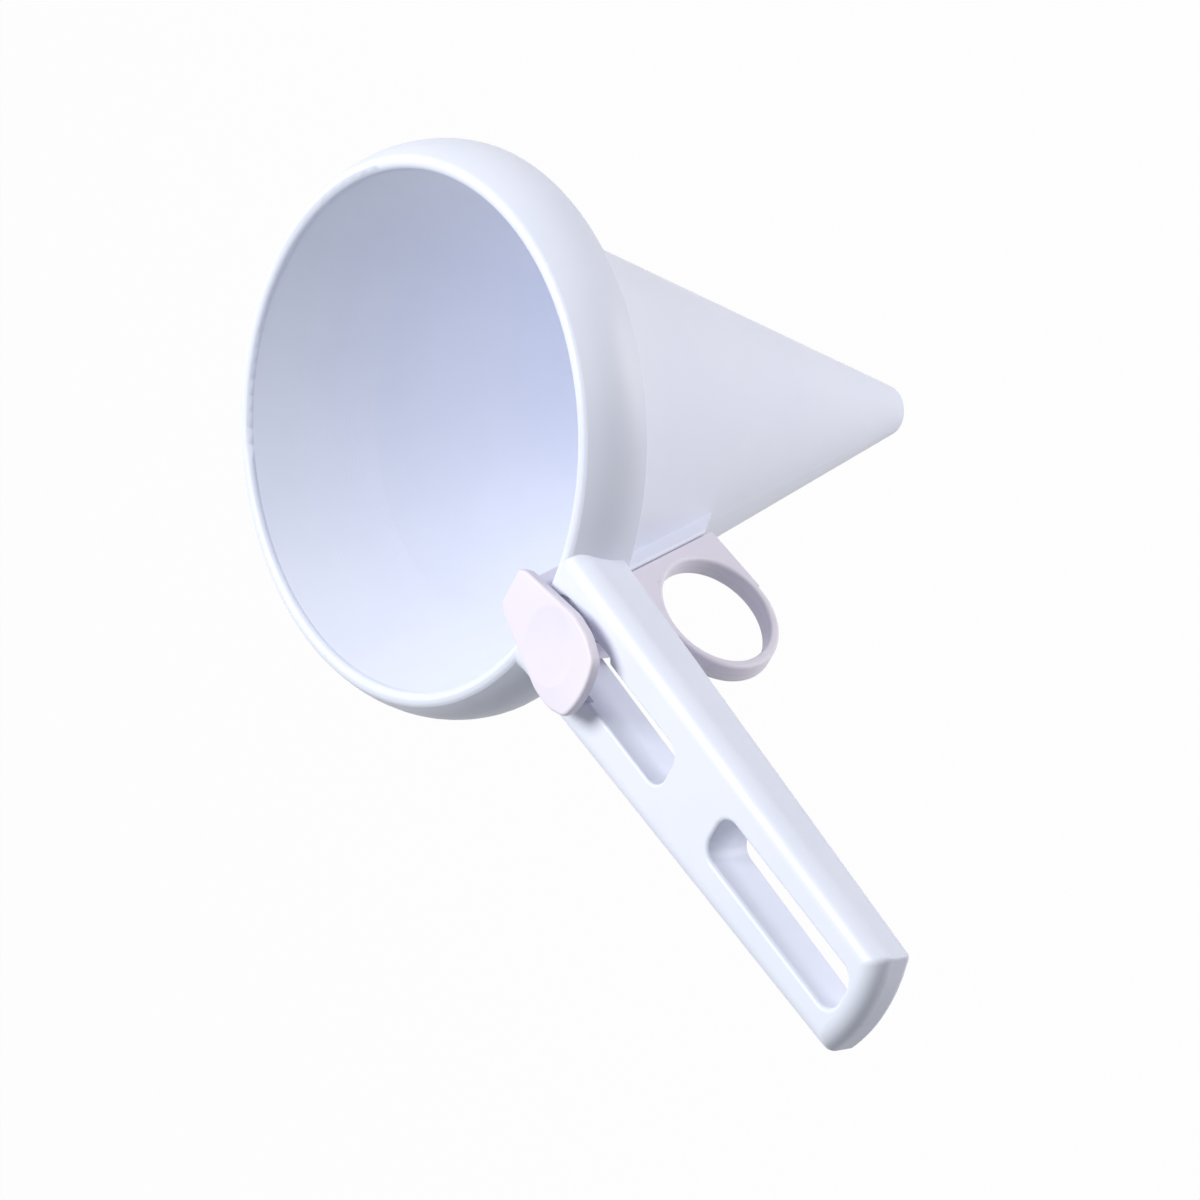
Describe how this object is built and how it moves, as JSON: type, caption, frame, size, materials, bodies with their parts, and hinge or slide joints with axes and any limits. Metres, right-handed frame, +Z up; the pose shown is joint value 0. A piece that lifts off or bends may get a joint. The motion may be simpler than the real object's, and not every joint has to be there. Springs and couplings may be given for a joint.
{
  "type": "batter dispenser",
  "caption": "Hand-held pancake batter dispenser: a white plastic cone with a slotted handle, and a thumb pad and finger ring that lift a stopper out of the outlet.",
  "frame": {"origin": "centre of the mouth, level with the top of the rim and of the handle", "axes": "+Z up along the cone's axis out of the mouth, +X along the handle away from the cone"},
  "size_m": [0.2066, 0.1088, 0.1324],
  "materials": {
    "body_plastic": "satin gloss",
    "trigger_plastic": "satin gloss",
    "stopper_rubber": "matt"
  },
  "bodies": {
    "funnel": {"funnel_body": "body_plastic"},
    "trigger": {"finger_ring": "trigger_plastic", "thumb_pad": "trigger_plastic", "stopper_arm": "trigger_plastic", "stopper_tip": "stopper_rubber"}
  },
  "joints": [
    {"name": "stopper_lift", "type": "slide", "parent": "funnel", "child": "trigger", "axis": [0.3293, 0, 0.9442], "range_m": [0, 0.0115]}
  ]
}
